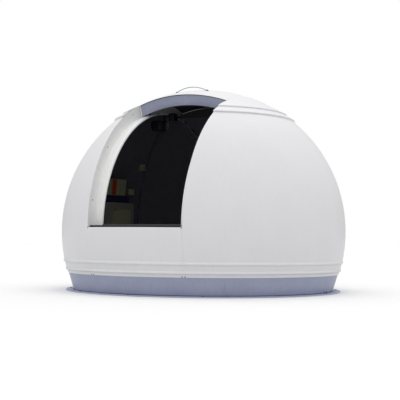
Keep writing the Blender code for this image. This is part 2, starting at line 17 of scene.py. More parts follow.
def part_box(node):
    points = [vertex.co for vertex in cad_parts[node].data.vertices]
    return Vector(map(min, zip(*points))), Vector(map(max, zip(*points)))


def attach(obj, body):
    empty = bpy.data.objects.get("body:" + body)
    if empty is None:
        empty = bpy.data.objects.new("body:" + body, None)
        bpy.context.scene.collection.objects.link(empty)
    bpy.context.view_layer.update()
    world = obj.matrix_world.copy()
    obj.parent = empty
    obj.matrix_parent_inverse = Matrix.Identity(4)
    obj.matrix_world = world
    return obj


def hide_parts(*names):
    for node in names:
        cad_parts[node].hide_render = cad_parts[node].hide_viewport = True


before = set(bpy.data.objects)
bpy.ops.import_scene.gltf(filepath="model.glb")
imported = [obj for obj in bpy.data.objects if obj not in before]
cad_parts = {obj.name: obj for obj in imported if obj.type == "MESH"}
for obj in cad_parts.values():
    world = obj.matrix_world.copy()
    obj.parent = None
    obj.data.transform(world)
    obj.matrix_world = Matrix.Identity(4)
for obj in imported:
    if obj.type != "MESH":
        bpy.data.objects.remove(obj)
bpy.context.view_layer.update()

# Sphere and skin
RADIUS = 1.75
CENTRE = 0.73
SKIN = 0.006
HAIRLINE = 0.0003
EDGE = 0.004

# Base ring
RING_TOP = (1.6597, 0.222)
RING_FOOT_RADIUS = 1.5965
RING_WALL = 0.008
FLANGE_RADIUS = 1.689
FLANGE_THICKNESS = 0.012
RING_JOINT_DEG = 36
FOOT_SHADE_RADIUS = 0.0075
ANCHOR_RADIUS = 1.645

# Foot of the skin: beads as (crest elevation, rise above, fall below, height)
SKIRT_BOTTOM = 0.212
RUNNING_FLANGE = (1.585, 0.232, 0.240)
BEADS = ((-12.2, 0.9, 0.9, 0.0125), (-15.5, 0.8, 0.8, 0.0140))
SKIRT_INSET = ((-90, -0.005), (-16.5, -0.005), (-14.6, -0.002), (-13.4, -0.002), (-11.5, 0))
SILL_ROUND = 0.010

# Laps of the crown, as (elevation, offset from the sphere)
CROWN_LAPS = (
    (50.4, 0.016),
    (50.5, 0.0185),
    (50.7, 0.019),
    (53.4, 0.009),
    (54.38, 0.004),
    (54.42, 0.016),
    (54.55, 0.019),
    (60, 0),
    (90, 0),
)
CROWN_JOINT_DEG = 50.4
REAR_JOINT_DEG = 120

# Slot and its recess
SLOT_HALF = 0.6125
CHANNEL_FLOOR = 1.484
CHANNEL_WALL = 0.006
LIP_OUTER = 0.583
LIP_INNER = 0.508
LIP_RISE = 0.0096
LIP_SLOPE = 0.005
LIP_SHOULDER = 0.022
LIP_TURN_DOWN = 0.014
SLOT_START_DEG = 0.908
OPENING_END_DEG = 97.5
SLOT_END_DEG = 189.9
SILL_TOP = 0.7528
REAR_SILL_TOP = 0.450
SILL_LEDGE_RADIUS = 1.460
REAR_LEDGE_RADIUS = 1.435
LEDGE_THICKNESS = 0.008
REAR_FLOOR_RADIUS = 1.5913
REAR_FLOOR_HALF = 0.530
WALL_SCREW_DISTANCE = 1.575

# Shutter
SHUTTER_RADIUS = 1.745
SHUTTER_HALF = 0.60375
SHUTTER_FRONT_DEG = 69.0
SHUTTER_LIP_DEG = 69.4
SHUTTER_REAR_DEG = 166.4
SHUTTER_FOOT = 1.4915
SKIRT_THICKNESS = 0.016
END_PLATE_RADIUS = 1.6048
END_PLATE_THICKNESS = 0.010
HOOP_HALF = 0.213
HOOP_CREST = 1.788
HOOP_TUBE_RADIUS = 0.006

# Camera, fitted to the photograph's 400 by 400 frame
CAMERA_DISTANCE = 12.0
CAMERA_HEIGHT = 0.631
CAMERA_AZIMUTH_DEG = 28.1
CAMERA_YAW_DEG = -0.2343
CAMERA_PITCH_DEG = 2.3210
CAMERA_ROLL_DEG = 0.5343
FOCAL_PIXELS = 962
FRAME_PIXELS = 400
SENSOR_MM = 36

# Light
FLOOR_BOUNCE = "#DCDCDC"
HORIZON_LIGHT = 0.35
ZENITH_LIGHT = 1.50
SUN_STRENGTH = 0.15
SUN_SPREAD_DEG = 40
SUN_TILT_DEG = -25


def sphere_section(elevations_deg, offsets=0.0):
    """(radius, height) on the sphere: the radius plus the offset, times cosine and sine."""
    angle = np.radians(np.asarray(elevations_deg, float))
    length = RADIUS + np.asarray(offsets, float)
    return np.stack([length * np.cos(angle), CENTRE + length * np.sin(angle)], axis=-1)


def elevation_of(height, radius):
    return math.degrees(math.asin((height - CENTRE) / radius))


def solid_faces(points):
    """Quads between neighbouring stations of a closed loop and the two end caps, facing outwards.

    The solid's signed volume is the sum over each face's fan of triangles of a dot (b cross c)
    over six, and all faces turn round where it is negative.
    """
    stations, loop = points.shape[:2]
    start = np.arange(stations - 1)[:, None] * loop
    near = np.arange(loop)
    far = (near + 1) % loop
    quads = np.stack([start + near, start + far, start + loop + far, start + loop + near], axis=-1)
    faces = [quads.reshape(-1, 4), near[None, ::-1], near[None] + (stations - 1) * loop]
    flat = points.reshape(-1, 3) - points.reshape(-1, 3).mean(axis=0)
    volume = 0.0
    for face in faces:
        corners = flat[face]
        volume += np.sum(corners[:, :1] * np.cross(corners[:, 1:-1], corners[:, 2:]))
    return faces if volume > 0 else [face[:, ::-1] for face in faces]


def add_piece(name, shapes, body, materials, inside=None, replaced=(), sharp=35):
    """One piece of solids, each a (station, loop, xyz) array of a closed loop carried along.

    Inside marks the loop's points whose faces take the second material. Doubles are merged, so
    that poles close.
    """
    rows, numbers, corners, count = [], [], [], 0
    for points in shapes:
        for face in solid_faces(points):
            rows += (face + count).tolist()
        marks = np.zeros(points.shape[1], int) if inside is None else np.asarray(inside, int)
        numbers += np.tile(marks, points.shape[0] - 1).tolist() + [0, 0]
        corners.append(points.reshape(-1, 3))
        count += points.shape[0] * points.shape[1]
    mesh = bpy.data.meshes.new(name)
    mesh.from_pydata(np.concatenate(corners).tolist(), [], rows)
    for material in materials:
        mesh.materials.append(material)
    mesh.polygons.foreach_set("material_index", numbers)
    merged = bmesh.new()
    merged.from_mesh(mesh)
    bmesh.ops.remove_doubles(merged, verts=merged.verts, dist=0.000002)
    merged.to_mesh(mesh)
    merged.free()
    mesh.shade_smooth()
    mesh.set_sharp_from_angle(angle=math.radians(sharp))
    piece = bpy.data.objects.new(name, mesh)
    bpy.context.scene.collection.objects.link(piece)
    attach(piece, body)
    if replaced:
        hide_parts(*replaced)
    return piece


def rounded(corners, cuts, steps=5):
    """A closed outline with rounded corners.

    Between a point one cut before the corner and one cut after it runs the quadratic curve
    (1-s)^2 start + 2s(1-s) corner + s^2 end. A point just outside each end keeps the flats flat.
    """
    corners = np.asarray(corners, float)
    cuts = np.broadcast_to(np.asarray(cuts, float), len(corners))

    def leg(step):
        way = np.roll(corners, step, axis=0) - corners
        length = np.linalg.norm(way, axis=1)
        spare = np.maximum(length - cuts - np.roll(cuts, step), 0)
        way = way / length[:, None]
        near = corners + way * cuts[:, None]
        return near, near + way * np.minimum(0.003, 0.3 * spare)[:, None]

    start, before = leg(1)
    end, after = leg(-1)
    s = np.linspace(0, 1, steps)[:, None, None]
    curve = (1 - s) ** 2 * start + 2 * s * (1 - s) * corners + s**2 * end
    loop = np.concatenate([before[None], curve, after[None]])
    return loop.transpose(1, 0, 2).reshape(-1, 2)


def turned(profile, centre, axis, sides):
    """A (radius, height) profile turned about an axis: centre + height n + radius (cos u + sin v)."""
    profile = np.asarray(profile, float)
    axis = np.asarray(axis, float) / np.linalg.norm(axis)
    helper = np.array([0, 0, 1]) if abs(axis[2]) < 0.9 else np.array([1, 0, 0])
    u = np.cross(axis, helper)
    u = u / np.linalg.norm(u)
    v = np.cross(axis, u)
    angle = np.arange(sides)[:, None] * math.tau / sides
    ring = np.cos(angle) * u + np.sin(angle) * v
    rise = profile[:, 1, None, None] * axis
    return np.asarray(centre) + rise + profile[:, 0, None, None] * ring


def bolts(name, centres, axes, size, body, materials, washer=True):
    """Hexagon heads on washers: two turned profiles at each place, sunk a little into the face."""
    head = [(size, -0.001), (size, 0.55 * size), (0.85 * size, 0.7 * size), (0.8 * size, 0.7 * size)]
    disc = [(1.6 * size, -0.001), (1.6 * size, 0.0012), (1.45 * size, 0.0018)]
    shapes = [turned(head, centre, axis, 6) for centre, axis in zip(centres, axes)]
    if washer:
        shapes += [turned(disc, centre, axis, 16) for centre, axis in zip(centres, axes)]
    add_piece(name, shapes, body, materials)


def screws(name, centres, axes, size, rise, body, materials):
    """Low domed screw heads: one turned profile at each place."""
    dome = [(size, -0.001), (size, 0.3 * rise), (0.8 * size, 0.75 * rise), (0.35 * size, rise)]
    shapes = [turned(dome, centre, axis, 12) for centre, axis in zip(centres, axes)]
    add_piece(name, shapes, body, materials)


def round_axis(section, azimuths_deg):
    """A (radius, height) section about the upright axis: radius sine, minus radius cosine, height."""
    angle = np.radians(np.asarray(azimuths_deg, float))[:, None]
    radius = section[:, 0]
    height = np.broadcast_to(section[:, 1], (len(angle), len(section)))
    return np.stack([radius * np.sin(angle), -radius * np.cos(angle), height], axis=-1)


def over_slot(section, angles_deg):
    """An (across, distance) section over the slot: minus distance cosine, centre + distance sine.

    The section may hold one loop, or one for each slot angle.
    """
    angle = np.radians(np.asarray(angles_deg, float))[:, None]
    distance = np.broadcast_to(section[..., 1], (len(angle), section.shape[-2]))
    across = np.broadcast_to(section[..., 0], distance.shape)
    level = -distance * np.cos(angle)
    return np.stack([across, level, CENTRE + distance * np.sin(angle)], axis=-1)


def mirrored(points, sign):
    return points * np.array([sign, 1, 1])


def sphere_arc(radius, halves):
    """(across, distance) points at one radius: the root of radius squared less across squared."""
    return np.stack([halves, np.sqrt(radius**2 - halves**2)], axis=-1)


def edge_drop(away):
    """Depth of a rounded edge at a distance from the cut: E less the root of E^2 - (E - away)^2."""
    left = EDGE - np.clip(away, 0, EDGE)
    return EDGE - np.sqrt(EDGE**2 - left**2)


EDGE_INSETS = np.array([0, 0.134 * EDGE, 0.5 * EDGE, EDGE, 0.007])


def slab(half_width, half_height, depth, corner, edge):
    """A plate with rounded corners and a rounded front edge, in (right, depth, up).

    Each station is the rectangle drawn in by its inset: corner centre + (corner - inset) times
    (cosine, sine). The insets follow a quarter circle from the front face.
    """
    turn = np.radians(np.linspace(0, 90, 5))
    insets = np.concatenate([edge * (1 - np.sin(turn)), [0, 0]])
    depths = np.concatenate([edge * (1 - np.cos(turn)), [edge + 0.1 * depth, depth]])
    reach = min(0.004, half_width - corner, half_height - corner) / corner
    arc = np.concatenate([[[1, -reach]], np.stack([np.cos(turn), np.sin(turn)], -1), [[-reach, 1]]])
    quarter = np.array([[0, 1], [-1, 0]])
    arcs = np.stack([arc, arc @ quarter, -arc, -arc @ quarter])
    signs = np.array([[1, 1], [-1, 1], [-1, -1], [1, -1]])[:, None]
    middle = signs * np.array([half_width - corner, half_height - corner])
    loops = middle + (corner - insets[:, None, None, None]) * arcs
    loops = loops.reshape(len(insets), -1, 2)
    depth_of = np.broadcast_to(depths[:, None], loops.shape[:2])
    return np.stack([loops[..., 0], depth_of, loops[..., 1]], axis=-1)


def placed(points, azimuth_deg, right, distance, height, lean=0.0):
    """Local (right, out, up) points set at an azimuth: out grows by lean times the drop in height."""
    angle = math.radians(azimuth_deg) + math.pi
    across = points[..., 0] + right
    out = points[..., 1] + distance - lean * points[..., 2]
    x = across * math.cos(angle) - out * math.sin(angle)
    y = across * math.sin(angle) + out * math.cos(angle)
    return np.stack([x, y, points[..., 2] + height], axis=-1)


def srgb(code):
    """Linear colour of an sRGB hex value."""
    value = np.array([int(code[i : i + 2], 16) for i in (1, 3, 5)]) / 255
    linear = np.where(value <= 0.04045, value / 12.92, ((value + 0.055) / 1.055) ** 2.4)
    return (*linear.tolist(), 1.0)


def node(material, kind, inputs=(), **settings):
    """Adds one node to a material or world, with its settings, socket values and links."""
    made = material.node_tree.nodes.new("ShaderNode" + kind)
    for name, value in settings.items():
        setattr(made, name, value)
    for name, value in dict(inputs).items():
        if isinstance(value, bpy.types.NodeSocket):
            material.node_tree.links.new(value, made.inputs[name])
        else:
            made.inputs[name].default_value = value
    return made


def finish(name, roughness, metallic=0.0, **sockets):
    """A material with its shader and Object coordinates, and constants on the shader's sockets."""
    material = bpy.data.materials.new(name)
    material.use_nodes = True
    shader = material.node_tree.nodes["Principled BSDF"]
    shader.inputs["Roughness"].default_value = roughness
    shader.inputs["Metallic"].default_value = metallic
    for socket, value in sockets.items():
        shader.inputs[socket.replace("_", " ")].default_value = value
    place = node(material, "TexCoord").outputs["Object"]
    return material, shader, place


def cloudy_colour(material, shader, place, dark, light, cell_m, detail=4):
    """Colour that drifts between two hex values in clouds of one size."""
    clouds = node(material, "TexNoise", {"Vector": place, "Scale": 1 / cell_m, "Detail": detail})
    mix = node(
        material,
        "MixRGB",
        {"Fac": clouds.outputs["Fac"], "Color1": srgb(dark), "Color2": srgb(light)},
    )
    material.node_tree.links.new(mix.outputs["Color"], shader.inputs["Base Color"])
    return mix


def grain(material, shader, place, cell_m, height_m, strength=1.0):
    """Fine unevenness of one cell size and height."""
    noise = node(material, "TexNoise", {"Vector": place, "Scale": 1 / cell_m, "Detail": 3})
    bump = node(
        material,
        "Bump",
        {"Height": noise.outputs["Fac"], "Distance": height_m, "Strength": strength},
    )
    material.node_tree.links.new(bump.outputs["Normal"], shader.inputs["Normal"])
    return bump


def streaks(material, shader, place, mix, colour, cell_m, amount):
    """Thin upright weather streaks over a colour: noise stretched ten times along the height."""
    stretched = node(material, "Mapping", {"Vector": place, "Scale": (1, 1, 0.1)})
    noise = node(
        material,
        "TexNoise",
        {"Vector": stretched.outputs["Vector"], "Scale": 1 / cell_m, "Detail": 5},
    )
    level = node(
        material,
        "MapRange",
        {"Value": noise.outputs["Fac"], "From Min": 0.5, "From Max": 0.75, "To Max": amount},
    )
    over = node(
        material,
        "MixRGB",
        {"Fac": level.outputs["Result"], "Color1": mix.outputs["Color"], "Color2": srgb(colour)},
    )
    material.node_tree.links.new(over.outputs["Color"], shader.inputs["Base Color"])


def white_gelcoat():
    """Polished white gelcoat on sprayed fibreglass: an even white with a soft, slightly wavy gloss."""
    material, shader, place = finish("polished_white_gelcoat", 0.36, Specular_IOR_Level=0.3)
    mix = cloudy_colour(material, shader, place, "#E2E2E4", "#E8E8EA", cell_m=0.45)
    # Real rain streaks are a few millimetres wide, and are drawn at 30 mm so that they show
    streaks(material, shader, place, mix, "#DADADB", cell_m=0.030, amount=0.2)
    grain(material, shader, place, cell_m=0.030, height_m=0.00006)
    return material


def recess_gelcoat():
    """White gelcoat of the recess, brushed on by hand and less glossy. Painted light: it is a little warmer and
    lighter than the outer gelcoat, so that the shaded recess shows as light as the lit skin, with a cream tint for
    its shade.
    """
    material, shader, place = finish("brushed_gelcoat_painted_lighter", 0.42)
    # Lighter than the outer white: painted light that makes up for the shade in the recess
    mix = cloudy_colour(material, shader, place, "#F1F1F0", "#F8F8F7", cell_m=0.12)
    # Brush marks are a millimetre wide, and are drawn at 12 mm so that they show
    streaks(material, shader, place, mix, "#E4E1DC", cell_m=0.012, amount=0.3)
    grain(material, shader, place, cell_m=0.018, height_m=0.00012)
    return material


def ring_gelcoat():
    """Blue-grey pigmented gelcoat, satin from weather: faint cloudy streaks on a cool grey."""
    material, shader, place = finish("blue_grey_gelcoat", 0.42)
    mix = cloudy_colour(material, shader, place, "#9AA0BA", "#AEB3CA", cell_m=0.22, detail=6)
    streaks(material, shader, place, mix, "#878CA6", cell_m=0.020, amount=0.3)
    grain(material, shader, place, cell_m=0.020, height_m=0.00010)
    return material


def flat_black():
    """Flat dark paint on bare laminate: takes little light, with the mat's coarse bump under it."""
    material, shader, place = finish("flat_dark_paint", 0.75, Specular_IOR_Level=0.3)
    # The fibre mat's cells are a few millimetres, and are drawn at 12 mm so that they show
    cloudy_colour(material, shader, place, "#565560", "#64636E", cell_m=0.10)
    grain(material, shader, place, cell_m=0.012, height_m=0.0005)
    return material


def joint_paint():
    """Black paint brushed thickly over the bolted joints: darker than the wall, with a dull sheen."""
    material, shader, place = finish("brushed_black_paint", 0.6)
    cloudy_colour(material, shader, place, "#262427", "#302E31", cell_m=0.03)
    grain(material, shader, place, cell_m=0.006, height_m=0.0002)
    return material


def seal_rubber():
    """Extruded EPDM sealing strip: near black with a dull skin and faint lines from the die."""
    material, shader, place = finish("extruded_epdm_rubber", 0.6)
    cloudy_colour(material, shader, place, "#131317", "#1E1E24", cell_m=0.05)
    grain(material, shader, place, cell_m=0.004, height_m=0.0001)
    return material


def painted_foot_shade():
    """Painted shade: a dark grey-blue bead along the root of the ring wall, uneven and slightly glossy, standing for
    the shade in the corner.
    """
    material, shader, place = finish("painted_shade_bead", 0.45)
    cloudy_colour(material, shader, place, "#3C4058", "#4E536C", cell_m=0.02)
    grain(material, shader, place, cell_m=0.008, height_m=0.0004)
    return material


def moulded_nylon():
    """Moulded dark grey nylon: even grey with a fine matt texture from the mould."""
    material, shader, place = finish("moulded_grey_nylon", 0.55)
    cloudy_colour(material, shader, place, "#3A3B42", "#46474F", cell_m=0.04)
    grain(material, shader, place, cell_m=0.002, height_m=0.00005)
    return material


def zinc_steel():
    """Bright zinc plated steel: pale grey metal with a faint spangle."""
    material, shader, place = finish("zinc_plated_steel", 0.38, 1.0)
    # The spangle's crystals are about a millimetre, and are drawn at 8 mm so that they show
    cloudy_colour(material, shader, place, "#A9ACB0", "#C3C5C8", cell_m=0.008)
    grain(material, shader, place, cell_m=0.003, height_m=0.00003)
    return material


def weathered_steel():
    """Weathered zinc on bolt heads: dull grey-brown metal, half lost under a film of oxide."""
    material, shader, place = finish("weathered_zinc_bolts", 0.55, 0.6)
    cloudy_colour(material, shader, place, "#3C3B40", "#5A5960", cell_m=0.01)
    grain(material, shader, place, cell_m=0.002, height_m=0.0001)
    return material


def mill_aluminium():
    """Mill finish aluminium plate: soft grey metal with fine rolling lines."""
    material, shader, place = finish("mill_finish_aluminium", 0.42, 1.0)
    cloudy_colour(material, shader, place, "#6E6F75", "#828389", cell_m=0.03)
    grain(material, shader, place, cell_m=0.0015, height_m=0.00003)
    return material


def plain_finish(name, dark, light, roughness, cell_m=0.03, bump_m=0.00005):
    """A moulded or painted skin of nearly one colour, with small clouds and a fine grain."""
    material, shader, place = finish(name, roughness)
    cloudy_colour(material, shader, place, dark, light, cell_m)
    grain(material, shader, place, cell_m=0.003, height_m=bump_m)
    return material


WHITE = white_gelcoat()
RECESS = recess_gelcoat()
RING = ring_gelcoat()
BLACK = flat_black()
JOINT_BLACK = joint_paint()
RUBBER = seal_rubber()
FOOT_SHADE = painted_foot_shade()
NYLON = moulded_nylon()
ZINC = zinc_steel()
BOLT = weathered_steel()
ALUMINIUM = mill_aluminium()
# Glass-filled polyester boxes: even grey-green, matt
ENCLOSURE = plain_finish("moulded_polyester_enclosure", "#8E9078", "#9A9C84", 0.55)
# Smoked and tinted sheet plastic on the boxes: flat, a little glossy
ORANGE = plain_finish("orange_pvc_sheet", "#A8400F", "#B64A16", 0.45)
YELLOW_GREEN = plain_finish("olive_acrylic_sheet", "#8A8C40", "#96984A", 0.4)
CABINET = plain_finish("powder_coated_steel", "#7A7A72", "#86867E", 0.6)
PANEL = plain_finish("painted_steel_door", "#94947A", "#A0A086", 0.55)
# Stove enamelled steel tray: deep navy, half matt
TRAY = plain_finish("enamelled_navy_steel", "#2E2E52", "#3A3A60", 0.55)
# Cast housings under black enamel: dark blue-black, slightly glossy
ENAMEL = plain_finish("black_enamelled_casting", "#17181D", "#202127", 0.4, bump_m=0.0002)
# Pale moulded connectors and the pale disc on the motor: plain light grey
CONNECTOR = plain_finish("moulded_grey_connector", "#A8A8A6", "#B4B4B2", 0.5)


def bead_offset(elevations_deg):
    """Skirt inset by straight steps, plus for each bead a hump of half a cosine on both sides."""
    known, insets = zip(*SKIRT_INSET)
    offset = np.interp(elevations_deg, known, insets)
    for crest, rise, fall, height in BEADS:
        reach = np.where(elevations_deg > crest, rise, fall)
        away = np.minimum(np.abs(elevations_deg - crest) / reach, 1)
        offset = offset + height * (1 + np.cos(math.pi * away)) / 2
    return offset


def latitude_shell(section, outer_count, start, end, columns, joint=None):
    """A closed (radius, height) section carried round the upright axis between two cut ends.

    Each section point runs along its own circle of latitude: radius times sine and minus cosine
    of the azimuth. The ends give every row's own azimuths. Outer points near the slot's plane or
    a joint sink towards the sphere's centre by the rounded edge's depth.
    """
    radii, heights = section[:, :1], section[:, 1:]
    left, right = start(radii), end(radii)[:, ::-1]
    share = np.linspace(0, 1, columns + 1)[1:-1]
    middle = left[:, -1:] + (right[:, :1] - left[:, -1:]) * share
    azimuth = np.concatenate([left, middle, right], axis=1)
    away = np.abs(np.abs(radii * np.sin(azimuth)) - SLOT_HALF)
    if joint is not None:
        away = np.minimum(away, radii * np.abs(azimuth - math.radians(joint)))
    outer = np.arange(len(section)) < outer_count
    scale = 1 - outer[:, None] * edge_drop(away) / np.hypot(radii, heights - CENTRE)
    radius = radii * scale
    height = CENTRE + (heights - CENTRE) * scale
    points = np.stack([radius * np.sin(azimuth), -radius * np.cos(azimuth), height], axis=-1)
    return points.transpose(1, 0, 2)


def joint_edge(azimuth_deg, towards):
    """Rounded end at a joint: the joint's azimuth, moved by each inset over the radius."""
    base = math.radians(azimuth_deg)
    return lambda radii: base + towards * (HAIRLINE + EDGE_INSETS) / radii


def slot_edge(behind=False, towards=1):
    """Rounded end at the slot's upright plane: sine of azimuth is the distance across over radius."""

    def azimuths(radii):
        across = SLOT_HALF + towards * EDGE_INSETS
        turn = np.arcsin(np.minimum(across / radii, 1))
        return math.pi - turn if behind else turn

    return azimuths


def skin_section(top_deg, ledge_radius=None):
    """Closed section of a lower panel, from its top down the outside and up the inside."""
    foot_deg = elevation_of(SKIRT_BOTTOM, RADIUS)
    bead_rows = np.arange(-10.8, foot_deg, -0.12)
    plain_rows = np.arange(top_deg, -10.8, -2.4) if top_deg > -10.8 else np.array([])
    rows = np.concatenate([plain_rows, bead_rows[bead_rows < top_deg], [foot_deg]])
    outer = sphere_section(rows, bead_offset(rows))
    flange_radius, low, high = RUNNING_FLANGE
    foot = sphere_section([foot_deg], -0.005 - SKIN)
    low_deg, high_deg = elevation_of(low, RADIUS - SKIN), elevation_of(high, RADIUS - SKIN)
    thin = -SKIN - 0.002
    flange = [
        [sphere_section(low_deg, thin)[0], low],
        [flange_radius, low],
        [flange_radius, high],
        [sphere_section(high_deg, thin)[0], high],
    ]
    rising = np.arange(high_deg + 0.6, top_deg, 2.2)
    if ledge_radius:
        top = outer[0]
        under = top[1] - LEDGE_THICKNESS
        rising = rising[sphere_section(rising)[:, 1] < under - 0.004]
        corner = sphere_section([elevation_of(under, RADIUS - SKIN)], -SKIN)
        ledge = [[ledge_radius, under], [ledge_radius, top[1]]]
        below = np.degrees(SILL_ROUND / RADIUS)
        end = sphere_section(top_deg - below, bead_offset(top_deg - below))
        s = np.linspace(0, 1, 6)[:, None]
        start = top - [SILL_ROUND, 0]
        roll = (1 - s) ** 2 * start + 2 * s * (1 - s) * top + s**2 * end
        kept = outer[rows < top_deg - below - 0.05]
        outer = np.concatenate([[start - [0.004, 0]], roll, kept])
    else:
        rising = np.append(rising, top_deg)
        corner = np.zeros((0, 2))
        ledge = np.zeros((0, 2))
    inner = sphere_section(rising, np.where(rising < -7.2, thin, -SKIN))
    section = np.concatenate([outer, foot, flange, inner, corner, ledge])
    return section, len(outer)


def skin_panel(name, section, outer_count, start, end, columns, sign=1, joint=None):
    """One panel: white outside and flat dark inside."""
    points = latitude_shell(section, outer_count, start, end, columns, joint)
    add_piece(
        name + "_skin",
        [mirrored(points, sign)],
        "dome",
        [WHITE, BLACK],
        np.arange(len(section)) >= outer_count,
        replaced=(name,),
    )


def make_lower_panels():
    side = skin_section(CROWN_JOINT_DEG)
    joint = REAR_JOINT_DEG
    for name, sign in (("right", 1), ("left", -1)):
        front_half = (slot_edge(), joint_edge(joint, -1))
        rear_half = (joint_edge(joint, 1), slot_edge(behind=True))
        skin_panel(f"{name}_side_panel", *side, *front_half, 44, sign, joint)
        skin_panel(f"{name}_rear_panel", *side, *rear_half, 22, sign, joint)
    front = skin_section(elevation_of(SILL_TOP, RADIUS), SILL_LEDGE_RADIUS)
    rear = skin_section(elevation_of(REAR_SILL_TOP, RADIUS), REAR_LEDGE_RADIUS)
    across = slot_edge(towards=-1)
    back = slot_edge(behind=True, towards=-1)
    skin_panel("front_panel", *front, lambda radii: -across(radii), across, 24)
    skin_panel("rear_panel", *rear, back, lambda radii: math.tau - back(radii), 24)


def cap_rows(radius, turns_deg):
    """Elevations whose circles meet the slot's plane at even turns from the zenith.

    The sine of the elevation is the root of radius squared less half the slot's width squared,
    times the cosine of the turn, over the radius.
    """
    rise = math.sqrt(radius**2 - SLOT_HALF**2) / radius
    return np.degrees(np.arcsin(rise * np.cos(np.radians(turns_deg))))


def make_crowns():
    """The two crown caps: rows are circles of latitude that shrink to a point on the slot's plane."""
    turns = np.array([0, 1.2, 2.0, 2.5, 3.2, 5, 8, 11, 14, 17, 20])
    known, offsets = zip(*CROWN_LAPS)
    lap_rows = np.unique(np.concatenate([known[:-1], np.linspace(54.6, 60, 12), np.linspace(51, 54, 7)]))
    rows = np.concatenate([cap_rows(RADIUS, turns), lap_rows[::-1]])
    outer = sphere_section(rows, np.interp(rows, known, offsets))
    inner_rows = np.concatenate([np.linspace(CROWN_JOINT_DEG, 60, 5), cap_rows(RADIUS - SKIN, turns[::-1])])
    inner = sphere_section(inner_rows, -SKIN)
    section = np.concatenate([outer, inner])
    for name, sign in (("right_crown", 1), ("left_crown", -1)):
        skin_panel(name, section, len(outer), slot_edge(), slot_edge(behind=True), 48, sign)


def channel_section():
    """Recess wall, gutter and the raised lip with its round shoulder, as (across, distance)."""
    wall_top = math.sqrt((RADIUS - SKIN) ** 2 - SLOT_HALF**2) + 0.001
    under = CHANNEL_FLOOR - CHANNEL_WALL
    lip_top = CHANNEL_FLOOR + LIP_RISE
    edge = CHANNEL_FLOOR - LIP_TURN_DOWN
    outside = SLOT_HALF + CHANNEL_WALL
    shoulder = LIP_INNER + LIP_SHOULDER
    points = (
        (SLOT_HALF, wall_top, 0.0003),
        (SLOT_HALF, CHANNEL_FLOOR, 0.008),
        (LIP_OUTER, CHANNEL_FLOOR, 0.003),
        (LIP_OUTER - LIP_SLOPE, lip_top, 0.003),
        (LIP_INNER, lip_top, LIP_SHOULDER),
        (LIP_INNER, edge, 0.0015),
        (LIP_INNER + CHANNEL_WALL, edge, 0.0005),
        (shoulder, lip_top - CHANNEL_WALL, 0.002),
        (LIP_OUTER - LIP_SLOPE, lip_top - CHANNEL_WALL, 0.001),
        (LIP_OUTER, under, 0.001),
        (outside, under, 0.001),
        (outside, wall_top - 0.002, 0.0003),
    )
    points = np.array(points)
    return rounded(points[:, :2], points[:, 2])


def make_channels():
    """The recess mouldings on both sides, with a row of screws along each wall."""
    section = channel_section()
    inside = np.arange(len(section)) >= 4 * 7 + 5
    for place, start, end in (
        ("front", SLOT_START_DEG, OPENING_END_DEG - 0.01),
        ("rear", OPENING_END_DEG + 0.01, SLOT_END_DEG),
    ):
        points = over_slot(section, np.linspace(start, end, 62))
        for side, sign in (("left", -1), ("right", 1)):
            name = f"{side}_{place}_channel"
            add_piece(
                name + "_moulding",
                [mirrored(points, sign)],
                "dome",
                [RECESS, BLACK],
                inside,
                replaced=(name,),
            )
    turns = np.array([12.3, 37.7, 63.2, 88.6, 114, 139.4, 164.8])
    spots = over_slot(np.array([[SLOT_HALF, WALL_SCREW_DISTANCE]]), turns)[:, 0]
    for side, sign in (("left", -1), ("right", 1)):
        axes = [(-sign, 0, 0)] * len(spots)
        centres = mirrored(spots, sign)
        screws(f"{side}_recess_screws", centres, axes, 0.007, 0.0015, "dome", [BOLT])


def make_rear_floor():
    halves = np.linspace(-REAR_FLOOR_HALF, REAR_FLOOR_HALF, 24)
    outer = sphere_arc(REAR_FLOOR_RADIUS, halves)
    inner = sphere_arc(REAR_FLOOR_RADIUS - SKIN, halves[::-1])
    section = np.concatenate([outer, inner])
    add_piece(
        "rear_recess_moulding",
        [over_slot(section, np.linspace(OPENING_END_DEG + 0.01, SLOT_END_DEG, 62))],
        "dome",
        [RECESS, BLACK],
        np.arange(len(section)) >= len(outer),
        replaced=("rear_recess_floor",),
    )


def make_sill():
    """Rubber sill strip with a rounded top, grooved rail behind it and the two corner caps."""
    low = SILL_TOP + HAIRLINE
    corners = ((1.680, low), (1.680, low + 0.0227), (1.710, low + 0.0227), (1.710, low))
    seal = rounded(corners, (0.0006, 0.006, 0.010, 0.002))
    points = round_axis(seal, np.linspace(-20.8, 20.8, 40))
    add_piece("sill_strip", [points], "dome", [RUBBER], replaced=("sill_seal",))
    front, back, top = -1.489, -1.470, low + 0.035
    profile = (
        (front, low),
        (front, low + 0.011),
        (front + 0.004, low + 0.013),
        (front + 0.004, low + 0.021),
        (front, low + 0.023),
        (front, top),
        (back, top),
        (back, low),
    )
    loop = rounded(profile, (0.0005, 0.0006, 0.0006, 0.0006, 0.0006, 0.004, 0.004, 0.0005))
    across = np.linspace(-0.5074, 0.5074, 3)[:, None]
    level = np.broadcast_to(loop[:, 0], (3, len(loop)))
    height = np.broadcast_to(loop[:, 1], level.shape)
    rail = np.stack([np.broadcast_to(across, level.shape), level, height], axis=-1)
    add_piece("sill_guide_rail", [rail], "dome", [NYLON], replaced=("sill_rail",))
    cap = placed(slab(0.0072, 0.0142, 0.034, 0.005, 0.003), 180, 0.6043, -1.6445, 0.7523)
    caps = [mirrored(cap, sign) for sign in (1, -1)]
    add_piece("sill_corner_caps", caps, "dome", [RING])


